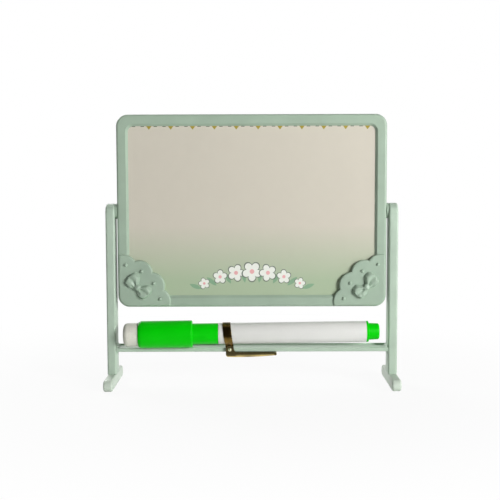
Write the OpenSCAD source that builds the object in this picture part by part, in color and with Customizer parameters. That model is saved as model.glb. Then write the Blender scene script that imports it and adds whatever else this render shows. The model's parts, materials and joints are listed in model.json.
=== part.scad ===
// Desk whiteboard easel: a framed board turns between two posts, above a tray
// that carries a clipped marker. Millimetres, +Z up, the front towards -Y, and
// the origin on the desk under the middle of the easel.

/* [Board] */
// Width of the board
board_w = 140; // [120:1:180]
// Height of the board
board_h = 100; // [80:1:130]
// Thickness of the board
board_t = 8; // [7:0.5:12]
// Width of the rails round the writing sheet
rail_w = 6; // [5.5:0.5:9]
// Radius of the board's corners
corner_r = 6; // [5:0.5:8]
// Radius that softens the board's outer edges
edge_r = 1.2; // [0.6:0.1:1.8]
// Radius of the opening's corners
opening_r = 3; // [2:0.5:6]
// Bevel round the opening
bevel = 1.2; // [0.4:0.1:1.2]
// Thickness of the lips that hold the sheets
lip_t = 1.4; // [1.3:0.1:2]
// How far the lips reach over the edges of the sheets
lip_grip = 2; // [1:0.5:2]
// Thickness of a sheet
sheet_t = 0.5; // [0.3:0.1:0.8]
// Corner radius of the sheets
sheet_r = 6; // [5.5:0.5:8]
// Height of the locating spigot between the frame halves
spigot_h = 1; // [0.5:0.1:1.5]
// Thickness of that spigot
spigot_t = 0.8; // [0.6:0.1:1]

/* [Frame screws] */
// Distance of each screw's middle from the corner of the sheets' pocket
screw_inset = 2.2; // [1.8:0.1:2.6]
// Diameter of the thread
screw_d = 2; // [1.6:0.1:2.2]
// Length under the head
screw_len = 4.6; // [3:0.1:5]
// Diameter of the head
screw_head_d = 3.2; // [2.8:0.1:3.4]
// Height of the head
screw_head_h = 1; // [0.8:0.1:1.2]

/* [Corner ornaments] */
// Distance of the scallops' centres from the board's corner
scallop_reach = 20.8; // [16:0.2:24]
// Radius of a scallop
scallop_r = 7; // [6:0.5:8]
// Angle from one scallop to the next
scallop_step = 24.5; // [20:0.5:28]
// Height of the plate over the rails
plate_t = 1; // [0.8:0.1:1.5]
// Chamfer along the scallops' edges
plate_edge = 0.5; // [0.2:0.1:0.7]
// Chamfer along the plate's edges on the rails
plate_rim = 0.45; // [0.25:0.1:0.65]
// Distance of the plate's outer edges from the board's edges
plate_inset = 0.6; // [0.5:0.1:1.2]
// Diameter of a bead
bead_d = 1.6; // [1:0.1:2.2]
// Distance of the beads beyond the scallops' centres
bead_reach = 1.4; // [-1:0.2:3]
// Angle from one bead to the next
bead_step = 22; // [16:1:24]
// Distance of the bow's knot from both edges of the board
bow_at = 10.4; // [9:0.2:12]
// Diameter of the knot
knot_d = 3.2; // [2.4:0.1:4]
// Length of a loop, from the middle of the knot
loop_l = 7; // [6:0.2:7.6]
// Width of a loop, across the bow
loop_w = 7.6; // [6:0.2:8.4]
// How far the loops lean off the bow's line, away from the board's corner
loop_shift = 1; // [0:0.1:1.4]
// Height of a loop above the plate
loop_h = 2.4; // [1.6:0.1:3]
// Radius that rounds a loop's edges
loop_soft = 1.8; // [1.2:0.1:2]
// Depth of the hollow in a loop
loop_hollow = 0.5; // [0.2:0.1:0.8]
// Radius of the folds that fan out from the knot
fold_r = 0.6; // [0.4:0.1:0.8]

/* [Posts and feet] */
// Width of a post, seen from the front
post_w = 4.8; // [4.5:0.1:8]
// Depth of a post, from front to back
post_d = 10; // [8:0.5:14]
// Height of a post's top over the board's turning axis
post_over = 4; // [3:0.5:8]
// Radius that softens the edges of posts and feet
soft_r = 1; // [0.5:0.1:1.5]
// Gap beside the board
side_gap = 1.2; // [0.8:0.1:3]
// Length of a foot
foot_len = 44; // [36:1:70]
// Height of a foot
foot_h = 6; // [5:0.5:9]
// Depth of the tenon under each post
post_tenon = 4; // [2:0.5:4]
// Length of that tenon, from front to back
post_tenon_l = 6; // [4:0.5:7]
// Thickness of that tenon
post_tenon_t = 2.4; // [1.6:0.1:2.8]

/* [Pen tray] */
// Height of the tray's top over the desk
tray_z = 20; // [16:0.5:40]
// Thickness of the tray
tray_t = 2.1; // [1.8:0.1:3]
// Depth of the tray, from front to back
tray_d = 10; // [9:0.5:16]
// Radius of the tray's long edges
tray_edge = 0.5; // [0.2:0.1:0.8]
// Height of the stop along the tray's rear edge
stop_h = 0.8; // [0.4:0.1:3]
// Thickness of that stop
stop_t = 1.2; // [1.2:0.1:2]
// Radius of the fillets between tray and posts
flare_r = 2; // [1:0.1:2.5]
// Depth of the tray's tenons
tray_tenon = 3; // [1.5:0.1:3]
// Length of the tray's tenons, from front to back
tray_tenon_l = 6; // [4:0.5:7]
// Thickness of the tray's tenons
tray_tenon_t = 1.4; // [1:0.1:1.6]
// Free height between tray and board
board_lift = 21.5; // [20:0.5:40]

/* [Pivots] */
// Diameter of a pivot pin
pin_d = 4; // [3:0.1:4.4]
// Depth of a pin in its post
pin_hold = 3.2; // [2:0.1:3.4]
// Diameter of the pin's flange inside the frame
flange_d = 6; // [5.4:0.1:6.4]
// Thickness of the flange
flange_t = 1; // [0.8:0.1:1.5]
// Diameter of the spacer washer
washer_d = 8; // [6:0.5:8]

/* [Marker] */
// Diameter of the barrel
barrel_d = 11; // [9.5:0.1:12]
// Length of the barrel
barrel_len = 77; // [60:1:77]
// Wall of the barrel
barrel_wall = 0.9; // [0.7:0.1:1.2]
// How far the marker's middle lies off the easel's middle
marker_shift = -0.45; // [-2:0.05:2]
// Free length beyond each end of the marker
end_gap = 4; // [4:0.5:10]
// Rise of the marker towards its right end, in degrees
marker_lean = 0.7; // [0:0.1:1.2]
// Thickness of the plug's flange
plug_rim = 1.2; // [0.8:0.1:2]
// Length of the plug outside the barrel
plug_len = 5.6; // [3:0.1:6]
// Diameter of the plug outside the barrel
plug_d = 8.7; // [7:0.1:9]
// Depth of the plug inside the barrel
plug_in = 6; // [3:0.5:8]
// Diameter of the neck that the cap seats on
neck_d = 8.6; // [8:0.1:8.8]
// Length of the neck
neck_len = 9.5; // [7:0.5:10]
// Length of the taper in front of the neck
nose_len = 2.5; // [1.5:0.1:3]
// Depth of the nib holder inside the barrel
holder_in = 7; // [4:0.5:10]
// Diameter of the nib
nib_d = 3.8; // [2.5:0.1:4]
// Length of the nib in front of the taper
nib_out = 3.5; // [2:0.1:4.5]
// Gap between the ink reservoir and the barrel
reservoir_gap = 0.2; // [0.1:0.1:1]

/* [Cap] */
// Diameter of the cap's narrow part
cap_d = 10.9; // [10.6:0.1:11.4]
// Length of the cap's narrow part
cap_len = 13.6; // [12:0.2:18]
// Diameter of the cap's wide part
holder_d = 14.2; // [13.8:0.1:16]
// Length of the cap's wide part
holder_len = 28; // [20:0.5:28]
// Length of the chamfer at the wide end
cap_chamfer = 1.3; // [0.5:0.1:2]
// Wall round the eraser's socket
socket_wall = 0.95; // [0.8:0.05:1.5]
// Wall at the rim of that socket
socket_rim = 0.4; // [0.3:0.05:0.6]
// Length of the eraser outside its socket
eraser_out = 7.9; // [5:0.1:8]
// Depth of the eraser in its socket
eraser_in = 5; // [3:0.5:8]
// Radius that rounds the eraser's end
eraser_round = 2.2; // [1:0.1:3]
// Diameter of the magnet
magnet_d = 10; // [6:0.5:10]
// Thickness of the magnet
magnet_t = 3; // [1:0.5:4]

/* [Clip] */
// Distance of the band from the cap, along the barrel
band_at = 4.9; // [4:0.1:20]
// Width of the band
band_w = 4.2; // [3.5:0.1:5]
// Thickness of the band
band_t = 0.35; // [0.3:0.05:0.5]
// Slant of the band on the barrel, in degrees
band_slant = 6.3; // [0:0.1:8]
// Gap between the band's two ears
ear_gap = 0.1; // [0.05:0.05:0.2]
// Distance from the band down to the rivet
ear_drop = 2.6; // [2.3:0.1:3.5]
// Diameter of the rivet
rivet_d = 1.2; // [0.8:0.1:1.6]
// Diameter of the rivet's head
rivet_head_d = 1.9; // [1.8:0.1:2.6]
// Height of the rivet's head
rivet_head_h = 0.5; // [0.3:0.1:0.8]
// Length of the blade, from the rivet to the tip
blade_len = 24.5; // [18:0.5:32]
// Width of the blade
blade_w = 4.6; // [3.6:0.1:6]
// Thickness of the blade's sheet metal
blade_t = 0.45; // [0.3:0.05:0.6]
// Height of the blade at its belly
belly_h = 2.6; // [2.2:0.1:3.5]
// Distance of the belly from the rivet
belly_at = 5.8; // [4:0.1:10]
// Height of the blade's rolled tip
tip_h = 1.6; // [1.2:0.1:2]

/* [Fits] */
// Gap round a turning pin
run_gap = 0.05; // [0.03:0.01:0.09]
// Gap round a part that is pushed into its seat
fit_gap = 0.1; // [0.05:0.05:0.2]
// Gap under the marker's cap and over the clip's blade
rest_gap = 0.1; // [0.05:0.05:0.3]
// Gap between the clip's ears and the tray's front
ear_clear = 0.3; // [0.2:0.05:1]

/* [Hidden] */
$fn = 64;
hull_fn = 24;
arc_fn = 720;
past = 1;

mint = "#afc6b2";
cream = "#d8d2c4";
white = "#ecebe6";
fibre = "#b99b6b";
steel = "#b9bcc0";
green = "#05c30b";
felt = "#d2cfc3";
gold = "#8d7434";

// Board, drawn flat: x to the right, y up, z towards the viewer
half_t = board_t / 2;
opening_w = board_w - 2 * rail_w;
opening_h = board_h - 2 * rail_w;
sheet_w = opening_w + 2 * lip_grip - 2 * fit_gap;
sheet_h = opening_h + 2 * lip_grip - 2 * fit_gap;
pocket_w = sheet_w + 2 * fit_gap;
pocket_h = sheet_h + 2 * fit_gap;
sheet_top = half_t - lip_t;
core_top = sheet_top - sheet_t;
plate_top = half_t + plate_t;
spigot_stop = corner_r + 9;
screw_at = rail_w - lip_grip + sheet_r - (sheet_r + screw_inset) / sqrt(2);

// Stand
pivot_z = tray_z + board_lift + board_h / 2;
marker_half = (eraser_out + cap_len + holder_len + barrel_len + plug_rim + plug_len) / 2;
post_in = max(board_w / 2 + side_gap, marker_half + abs(marker_shift) + end_gap);
post_x = post_in + post_w / 2;
round_z = pivot_z + post_over - post_d / 2;
foot_turn = foot_len / 2 - foot_h / 2;

// Pivots
flange_x = board_w / 2 - (rail_w - lip_grip) / 2 - flange_t / 2;
pin_end = post_in + pin_hold;

// Marker, drawn along x from the place where cap and barrel meet
barrel_in = barrel_d / 2 - barrel_wall;
ear_half = band_t + ear_gap / 2;
band_r = barrel_d / 2 + run_gap;
rivet_drop = band_r + band_t + ear_drop;
cap_end = cap_len + holder_len;
socket_r = holder_d / 2 - socket_wall;
socket_end = eraser_in + magnet_t;
eraser_r = socket_r - run_gap;
neck_bore = neck_d / 2 + fit_gap;
nib_room = nib_d / 2 + 1.1;
nib_tip = neck_len + nose_len + nib_out;
split_x = marker_shift + (eraser_out + cap_end - marker_half) * cos(marker_lean);
marker_y = -(tray_d / 2 + ear_clear + ear_half);
marker_z = tray_z + rest_gap + holder_d / 2 + cap_end * sin(marker_lean);

// Clip, placed from the rivet
slant = marker_lean + band_slant;
rivet_x = split_x + band_at * cos(marker_lean) + rivet_drop * sin(slant);
rivet_z = marker_z + band_at * sin(marker_lean) - rivet_drop * cos(slant);
blade_y = marker_y - ear_half - run_gap - blade_t;
blade_top = tray_z - tray_t - rest_gap - rivet_z;
belly_rise = belly_h - tip_h;
belly_r = (pow(blade_len - belly_at, 2) + pow(belly_rise, 2)) / (2 * belly_rise);

// ---- shared shapes ----

// Rectangle with round corners, about the middle
module soft_rect(w, h, r) {
    square([w - 2 * r, h], center = true);
    square([w, h - 2 * r], center = true);
    for (sx = [-1, 1], sy = [-1, 1]) {
        translate([sx * (w / 2 - r), sy * (h / 2 - r)]) circle(r);
    }
}

// Plate with round corners. Its child is the edge in section: x runs outwards
// from the middle of a corner, y through the plate.
module pad(w, h, r, low, high) {
    x = w / 2 - r;
    y = h / 2 - r;
    translate([-x, -y, low]) cube([2 * x, 2 * y, high - low]);
    for (side = [0, 1]) {
        mirror([0, side, 0]) translate([-x, y, 0]) rotate([90, 0, 90]) linear_extrude(2 * x) children();
        mirror([side, 0, 0]) translate([x, y, 0]) rotate([90, 0, 0]) linear_extrude(2 * y) children();
    }
    for (i = [0 : 3]) {
        translate([[x, -x, -x, x][i], [y, y, -y, -y][i], 0])
            rotate([0, 0, 90 * i]) rotate_extrude(angle = 90) children();
    }
}

// Plate with round corners and square edges
module plate(w, h, r, low, high) {
    pad(w, h, r, low, high) translate([0, low]) square([r, high - low]);
}

// Half of a bar's section, for turning the bar's round end
module half_section(r, w, soft) {
    intersection() {
        soft_rect(2 * r, w, soft);
        translate([0, -w]) square([r, 2 * w]);
    }
}

// Half turn of that section about the x axis, upwards from the y axis
module round_end(r, w, soft) {
    rotate([90, 0, 90]) rotate_extrude(angle = 180) half_section(r, w, soft);
}

// Body turned about the x axis from points [radius, place along x]
module spin(points) {
    rotate([0, 90, 0]) rotate_extrude() polygon(points);
}

// Rod along x between two places
module rod(r, from, to) {
    translate([from, 0, 0]) rotate([0, 90, 0]) cylinder(r = r, h = to - from);
}

// Flat-bottomed dome on the z axis
module dome(r, h) {
    round_r = (r * r + h * h) / (2 * h);
    rotate_extrude() intersection() {
        translate([0, h - round_r]) circle(round_r);
        square([r + past, h + past]);
    }
}

// The board's own flat drawing, stood up in its place
module on_board() {
    translate([0, 0, pivot_z]) rotate([90, 0, 0]) children();
}

module left_side() {
    mirror([1, 0, 0]) children();
}

module on_marker() {
    translate([split_x, marker_y, marker_z]) rotate([0, -marker_lean, 0]) children();
}

// Slanted place of the clip's band on the marker
module on_band() {
    translate([band_at, 0, 0]) rotate([0, -band_slant, 0]) children();
}

// ---- stand ----

// Tongue under a post, or with a gap round it the mortise in the foot
module post_tongue(gap) {
    translate([post_x - post_tenon_t / 2 - gap, -post_tenon_l / 2 - gap, foot_h - post_tenon - gap])
        cube([post_tenon_t + 2 * gap, post_tenon_l + 2 * gap, post_tenon + gap + past]);
}

module post() {
    difference() {
        union() {
            translate([post_x, 0, foot_h]) linear_extrude(round_z - foot_h) soft_rect(post_w, post_d, soft_r);
            translate([post_x, 0, round_z]) round_end(post_d / 2, post_w, soft_r);
            post_tongue(0);
        }
        translate([0, 0, pivot_z]) rod(pin_d / 2 + run_gap, post_in - past, pin_end + 2 * run_gap);
        translate([post_in - past, 0, tray_z - tray_t / 2]) tray_tongue(past + tray_tenon, fit_gap);
    }
}

module foot() {
    difference() {
        union() {
            translate([post_x, foot_turn, foot_h / 2]) rotate([90, 0, 0])
                linear_extrude(2 * foot_turn) soft_rect(post_w, foot_h, soft_r);
            for (end = [0, 180]) {
                translate([post_x, 0, foot_h / 2]) rotate([0, 0, end]) translate([0, foot_turn, 0])
                    rotate([-90, 0, 0]) round_end(foot_h / 2, post_w, soft_r);
            }
        }
        post_tongue(fit_gap);
    }
}

// Tongue of the tray, or with a gap round it the slot in the post
module tray_tongue(depth, gap) {
    translate([0, -tray_tenon_l / 2 - gap, -tray_tenon_t / 2 - gap])
        cube([depth + gap, tray_tenon_l + 2 * gap, tray_tenon_t + 2 * gap]);
}

// End of the tray in front view, with a fillet over and under it
module flare() {
    difference() {
        translate([post_in - flare_r, -tray_t / 2 - flare_r]) square([flare_r, tray_t + 2 * flare_r]);
        for (side = [-1, 1]) {
            translate([post_in - flare_r, side * (tray_t / 2 + flare_r)]) circle(flare_r);
        }
    }
}

module pen_tray() {
    flare_y = min(tray_d, post_d) / 2 - soft_r;
    color(mint) {
        translate([-post_in, 0, tray_z - tray_t / 2]) rotate([90, 0, 90]) linear_extrude(2 * post_in) {
            soft_rect(tray_d, tray_t, tray_edge);
            translate([tray_d / 2 - stop_t / 2, stop_h / 2]) soft_rect(stop_t, tray_t + stop_h, tray_edge);
        }
        for (side = [0, 1]) {
            mirror([side, 0, 0]) translate([0, flare_y, tray_z - tray_t / 2])
                rotate([90, 0, 0]) linear_extrude(2 * flare_y) flare();
            mirror([side, 0, 0]) translate([post_in - past, 0, tray_z - tray_t / 2])
                tray_tongue(past + tray_tenon, 0);
        }
    }
}

module left_post() {
    color(mint) left_side() post();
}

module right_post() {
    color(mint) post();
}

module left_foot() {
    color(mint) left_side() foot();
}

module right_foot() {
    color(mint) foot();
}

// ---- board ----

// One half of the frame, drawn as the front half
module half_frame() {
    difference() {
        pad(board_w, board_h, corner_r, 0, half_t) {
            square([corner_r, half_t - edge_r]);
            square([corner_r - edge_r, half_t]);
            translate([corner_r - edge_r, half_t - edge_r]) circle(edge_r);
        }
        pad(opening_w, opening_h, opening_r, -past, half_t + past) polygon([
            [0, -past], [opening_r, -past], [opening_r, half_t - bevel],
            [opening_r + bevel + past, half_t + past], [0, half_t + past]
        ]);
        plate(pocket_w, pocket_h, sheet_r, -past, sheet_top);
        for (side = [0, 1]) {
            mirror([side, 0, 0]) {
                rod(flange_d / 2 + fit_gap, flange_x - fit_gap, flange_x + flange_t + fit_gap);
                rod(pin_d / 2 + fit_gap, flange_x, board_w / 2 + past);
            }
        }
    }
}

// Straight ribs round the sheets' pocket that line up the two halves
module spigot(gap) {
    long = board_w - 2 * spigot_stop + 2 * gap;
    tall = board_h - 2 * spigot_stop + 2 * gap;
    for (side = [0, 1]) {
        mirror([0, side, 0]) translate([-long / 2, pocket_h / 2, -past])
            cube([long, spigot_t + gap, past + spigot_h + gap]);
        mirror([side, 0, 0]) translate([pocket_w / 2, -tall / 2, -past])
            cube([spigot_t + gap, tall, past + spigot_h + gap]);
    }
}

module at_screws() {
    for (sx = [-1, 1], sy = [-1, 1]) {
        translate([sx * (board_w / 2 - screw_at), sy * (board_h / 2 - screw_at), 0]) children();
    }
}

module front_frame() {
    color(mint) on_board() difference() {
        half_frame();
        spigot(fit_gap);
        at_screws() translate([0, 0, -past])
            cylinder(d = screw_d, h = past + screw_len + screw_head_h - half_t + fit_gap);
    }
}

module rear_frame() {
    color(mint) on_board() difference() {
        union() {
            mirror([0, 0, 1]) half_frame();
            spigot(0);
        }
        at_screws() {
            translate([0, 0, -half_t]) cylinder(d = screw_d + 2 * fit_gap, h = half_t + past);
            translate([0, 0, -half_t - past])
                cylinder(d = screw_head_d + 2 * fit_gap, h = past + screw_head_h);
        }
    }
}

module frame_screws() {
    color(steel) on_board() at_screws() translate([0, 0, -half_t]) difference() {
        union() {
            cylinder(d = screw_head_d, h = screw_head_h);
            cylinder(d = screw_d, h = screw_head_h + screw_len);
        }
        for (turn = [0, 90]) {
            rotate([0, 0, turn]) translate([-screw_head_d * 0.3, -screw_head_h * 0.2, -past])
                cube([screw_head_d * 0.6, screw_head_h * 0.4, past + screw_head_h * 0.6]);
        }
    }
}

module writing_sheet() {
    color(cream) on_board() plate(sheet_w, sheet_h, sheet_r, core_top, sheet_top);
}

module core_board() {
    color(fibre) on_board() plate(sheet_w, sheet_h, sheet_r, -core_top, core_top);
}

module rear_sheet() {
    color(white) on_board() plate(sheet_w, sheet_h, sheet_r, -sheet_top, -core_top);
}

// ---- corner ornaments ----

// Fan of scallops about the board's corner, straight up to a chamfered edge
module scallops(low, high, chamfer) {
    translate([0, 0, low]) cylinder(r = scallop_reach, h = high - low);
    for (i = [-1.5 : 1 : 1.5]) {
        rotate([0, 0, 45 + i * scallop_step]) translate([scallop_reach, 0, low]) {
            cylinder(r = scallop_r, h = high - low - chamfer);
            translate([0, 0, high - low - chamfer])
                cylinder(r1 = scallop_r, r2 = scallop_r - chamfer, h = chamfer);
        }
    }
}

// Post with a round top, a corner of a loop
module loop_corner(x, y, h) {
    translate([x, y, -plate_t / 2]) cylinder(r = loop_soft, h = plate_t / 2 + h - loop_soft, $fn = hull_fn);
    translate([x, y, h - loop_soft]) sphere(loop_soft, $fn = hull_fn);
}

// Fold from the knot into a loop's hollow
module fold(side) {
    tip_r = fold_r * 0.6;
    hull() {
        translate([side * fold_r * 1.1, knot_d * 0.32, loop_h - fold_r]) sphere(fold_r, $fn = hull_fn);
        translate([loop_shift + side * loop_w / 6, loop_l * 0.66, loop_h - loop_hollow - tip_r * 0.45])
            sphere(tip_r, $fn = hull_fn);
    }
}

// One puffed loop of the bow, drawn along y from the knot: low and narrow there,
// wide at its blunt end, with a hollow inside its round rim and two folds in it
module bow_loop() {
    half_w = loop_w / 2 - loop_soft;
    hollow_w = loop_w * 0.35;
    hollow_r = (pow(hollow_w, 2) + pow(loop_hollow, 2)) / (2 * loop_hollow);
    difference() {
        hull() {
            loop_corner(0, loop_soft / 2, loop_h * 0.85);
            for (side = [-1, 1]) {
                loop_corner(loop_shift + side * half_w, loop_l * 0.45, loop_h);
                loop_corner(loop_shift + side * half_w * 0.88, loop_l - loop_soft, loop_h);
            }
        }
        translate([loop_shift, loop_l * 0.58, loop_h - loop_hollow + hollow_r]) sphere(hollow_r);
    }
    for (side = [-1, 1]) {
        fold(side);
    }
}

// The knot, a low drum with a round top
module knot() {
    translate([0, 0, -plate_t / 2]) cylinder(d = knot_d, h = plate_t / 2 + loop_h - knot_d / 4);
    translate([0, 0, loop_h - knot_d / 4]) dome(knot_d / 2, knot_d / 4);
}

module bow() {
    translate([bow_at, bow_at, plate_top]) rotate([0, 0, 45]) {
        for (side = [0, 1]) {
            mirror([0, side, 0]) bow_loop();
        }
        knot();
    }
}

module ornament() {
    plate_r = corner_r - plate_inset;
    intersection() {
        translate([-board_w / 2, -board_h / 2, 0]) scallops(half_t, plate_top, plate_edge);
        pad(board_w - 2 * plate_inset, board_h - 2 * plate_inset, plate_r, half_t, plate_top) polygon([
            [0, half_t], [plate_r, half_t], [plate_r, plate_top - plate_rim],
            [plate_r - plate_rim, plate_top], [0, plate_top]
        ]);
    }
    intersection() {
        translate([-board_w / 2, -board_h / 2, 0]) scallops(sheet_top, half_t + plate_edge, 0);
        plate(opening_w - 2 * fit_gap, opening_h - 2 * fit_gap, opening_r, sheet_top, half_t + plate_edge);
    }
    translate([-board_w / 2, -board_h / 2, 0]) {
        bow();
        for (i = [-1.5 : 1 : 1.5]) {
            rotate([0, 0, 45 + i * bead_step]) translate([scallop_reach + bead_reach, 0, plate_top])
                sphere(d = bead_d);
        }
    }
}

module left_corner_ornament() {
    color(mint) on_board() ornament();
}

module right_corner_ornament() {
    color(mint) on_board() mirror([1, 0, 0]) ornament();
}

// ---- pivots ----

module pivot_pin() {
    translate([0, 0, pivot_z]) {
        rod(flange_d / 2, flange_x, flange_x + flange_t);
        rod(pin_d / 2, flange_x, pin_end);
    }
}

module pivot_washer() {
    translate([0, 0, pivot_z]) difference() {
        rod(washer_d / 2, board_w / 2 + run_gap, post_in - run_gap);
        rod(pin_d / 2 + run_gap, board_w / 2 - past, post_in + past);
    }
}

module left_pivot_pin() {
    color(steel) left_side() pivot_pin();
}

module right_pivot_pin() {
    color(steel) pivot_pin();
}

module left_pivot_washer() {
    color(mint) left_side() pivot_washer();
}

module right_pivot_washer() {
    color(mint) pivot_washer();
}

// ---- marker ----

module marker_barrel() {
    color(white) on_marker() spin([
        [barrel_in, 0], [barrel_d / 2, 0], [barrel_d / 2, barrel_len], [barrel_in, barrel_len]
    ]);
}

module barrel_plug() {
    rim_end = barrel_len + plug_rim;
    plug_end = barrel_len + plug_len + plug_rim;
    round_r = plug_d / 8;
    color(green) on_marker() spin([
        [0, barrel_len - plug_in], [barrel_in, barrel_len - plug_in], [barrel_in, barrel_len],
        [barrel_d / 2, barrel_len], [barrel_d / 2, rim_end], [plug_d / 2, rim_end],
        for (a = [0 : 15 : 90]) [plug_d / 2 - round_r * (1.2 - cos(a)), plug_end - round_r * (1 - sin(a))],
        [0, plug_end]
    ]);
}

module nib_holder() {
    color(green) on_marker() difference() {
        spin([
            [0, holder_in], [barrel_in, holder_in], [barrel_in, 0], [neck_d / 2, 0],
            [neck_d / 2, -neck_len], [nib_d / 2 + 0.8, -neck_len - nose_len], [0, -neck_len - nose_len]
        ]);
        rod(nib_d / 2, -neck_len - nose_len - past, holder_in + past);
    }
}

module marker_nib() {
    color(green) on_marker() {
        rod(nib_d / 2, nib_d / 2 - nib_tip, holder_in);
        translate([nib_d / 2 - nib_tip, 0, 0]) sphere(d = nib_d);
    }
}

module ink_reservoir() {
    color(felt) on_marker() rod(barrel_in - reservoir_gap, holder_in, barrel_len - plug_in);
}

module marker_cap() {
    outer = holder_d / 2;
    color(green) on_marker() spin([
        [neck_bore, -fit_gap], [cap_d / 2, -fit_gap], [cap_d / 2, -cap_len], [outer, -cap_len],
        [outer, cap_chamfer - cap_end], [socket_r + socket_rim, -cap_end], [socket_r, -cap_end],
        [socket_r, socket_end - cap_end], [0, socket_end - cap_end],
        [0, -nib_tip - 2], [nib_room, -nib_tip - 2], [nib_room, -neck_len - nose_len],
        [neck_bore, -neck_len - fit_gap]
    ]);
}

module eraser() {
    end = cap_end + eraser_out;
    color(felt) on_marker() rotate([0, 90, 0]) rotate_extrude() {
        translate([0, -end]) square([eraser_r - eraser_round, eraser_out + eraser_in]);
        translate([0, eraser_round - end]) square([eraser_r, eraser_out + eraser_in - eraser_round]);
        translate([eraser_r - eraser_round, eraser_round - end]) circle(eraser_round);
    }
}

module cap_magnet() {
    color(steel) on_marker() rod(magnet_d / 2, eraser_in - cap_end, socket_end - cap_end);
}

// ---- clip ----

module clip_band() {
    color(gold) on_marker() difference() {
        union() {
            intersection() {
                rod(band_r + band_t, band_at - band_w, band_at + band_w);
                on_band() cube([band_w, 2 * barrel_d, 2 * barrel_d], center = true);
            }
            on_band() {
                translate([-band_w / 2, -ear_half, -rivet_drop])
                    cube([band_w, 2 * ear_half, rivet_drop - barrel_d / 4]);
                translate([0, ear_half, -rivet_drop]) rotate([90, 0, 0])
                    cylinder(d = band_w, h = 2 * ear_half);
            }
        }
        rod(band_r, 0, band_at + 2 * band_w);
        on_band() {
            translate([-band_w, -ear_gap / 2, -rivet_drop - band_w])
                cube([2 * band_w, ear_gap, rivet_drop + band_w]);
            translate([0, ear_half + past, -rivet_drop]) rotate([90, 0, 0])
                cylinder(d = rivet_d, h = 2 * ear_half + 2 * past);
        }
    }
}

module clip_rivet() {
    shank = 2 * ear_half + 2 * run_gap + blade_t;
    color(gold) on_marker() on_band() translate([0, ear_half, -rivet_drop]) rotate([90, 0, 0]) {
        cylinder(d = rivet_d, h = shank);
        translate([0, 0, shank]) dome(rivet_head_d / 2, rivet_head_h);
    }
}

// The blade in front view, with the rivet at the origin: everything over the
// long arc of its belly
module over_arc(rise, from, to, top) {
    intersection() {
        translate([belly_at, blade_top - belly_h + belly_r]) circle(belly_r - rise, $fn = arc_fn);
        translate([from, blade_top - belly_h]) square([to - from, top - blade_top + belly_h]);
    }
}

module cheek() {
    intersection() {
        union() {
            circle(d = band_w);
            rotate(slant) translate([-band_w / 2, blade_top - belly_h]) square([band_w, belly_h - blade_top]);
        }
        over_arc(0, -band_w, band_w, band_w);
    }
}

// Slice of the blade, from one depth behind its front face to another
module slice(from, to) {
    translate([rivet_x, blade_y + to, rivet_z]) rotate([90, 0, 0]) linear_extrude(to - from) children();
}

module clip_blade() {
    roll_r = tip_h / 2;
    left = -band_w / 2;
    color(gold) difference() {
        union() {
            slice(0, blade_w) over_arc(0, left, blade_len - roll_r, blade_top);
            slice(0, blade_w) translate([blade_len - roll_r, blade_top - roll_r]) circle(roll_r);
            slice(0, blade_t) cheek();
        }
        slice(blade_t, blade_w - blade_t) over_arc(blade_t, left - past, blade_len - tip_h, band_w);
        slice(blade_t, blade_w + past) over_arc(blade_t, left - past, rivet_d / 2, band_w);
        slice(-past, blade_t + past) circle(d = rivet_d + 2 * run_gap);
    }
}

left_post();
right_post();
left_foot();
right_foot();
pen_tray();
front_frame();
rear_frame();
left_corner_ornament();
right_corner_ornament();
writing_sheet();
core_board();
rear_sheet();
frame_screws();
left_pivot_pin();
right_pivot_pin();
left_pivot_washer();
right_pivot_washer();
marker_barrel();
barrel_plug();
nib_holder();
marker_nib();
ink_reservoir();
marker_cap();
eraser();
cap_magnet();
clip_band();
clip_rivet();
clip_blade();
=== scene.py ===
"""Desk whiteboard easel: moulded surfaces, print, finishes and stage round its packed frame.

All lengths are in metres. The front of the easel faces -Y, +Z is up and +X is to the
viewer's right. Every new piece is a surface worked out on a grid with numpy, sits at the
origin and rides on the body that carries it.
"""

import bpy
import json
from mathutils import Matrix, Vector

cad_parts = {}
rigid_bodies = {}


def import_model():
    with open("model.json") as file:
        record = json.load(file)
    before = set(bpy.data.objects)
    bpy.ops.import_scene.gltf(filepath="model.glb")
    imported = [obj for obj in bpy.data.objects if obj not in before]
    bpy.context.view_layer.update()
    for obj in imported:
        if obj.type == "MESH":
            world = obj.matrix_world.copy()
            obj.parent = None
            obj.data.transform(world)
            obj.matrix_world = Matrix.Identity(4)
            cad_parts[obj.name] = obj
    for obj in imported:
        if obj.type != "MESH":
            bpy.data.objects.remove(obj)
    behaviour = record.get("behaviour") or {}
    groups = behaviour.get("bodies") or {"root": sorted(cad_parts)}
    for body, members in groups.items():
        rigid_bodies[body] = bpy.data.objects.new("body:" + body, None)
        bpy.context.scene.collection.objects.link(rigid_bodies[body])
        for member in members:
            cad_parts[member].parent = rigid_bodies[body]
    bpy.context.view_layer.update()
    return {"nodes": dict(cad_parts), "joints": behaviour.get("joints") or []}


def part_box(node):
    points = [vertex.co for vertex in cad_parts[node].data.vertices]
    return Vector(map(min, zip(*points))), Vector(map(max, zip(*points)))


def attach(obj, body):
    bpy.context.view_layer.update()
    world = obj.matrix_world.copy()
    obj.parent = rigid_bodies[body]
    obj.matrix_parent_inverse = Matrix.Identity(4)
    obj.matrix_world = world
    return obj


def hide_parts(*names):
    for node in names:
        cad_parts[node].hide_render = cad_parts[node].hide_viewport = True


for leftover in list(bpy.data.objects):
    bpy.data.objects.remove(leftover)
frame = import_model()

import json
import math

import bmesh
import numpy as np
from bpy.props import FloatProperty, FloatVectorProperty, PointerProperty
from mathutils import Matrix, Vector

bl_info = {
    "name": "Desk Whiteboard Easel",
    "version": (1, 0, 0),
    "blender": (4, 5, 0),
    "location": "3D View > Sidebar > Easel",
    "description": "Surfaces, print, finishes and stage of a desk whiteboard easel",
    "category": "Object",
}

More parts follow.
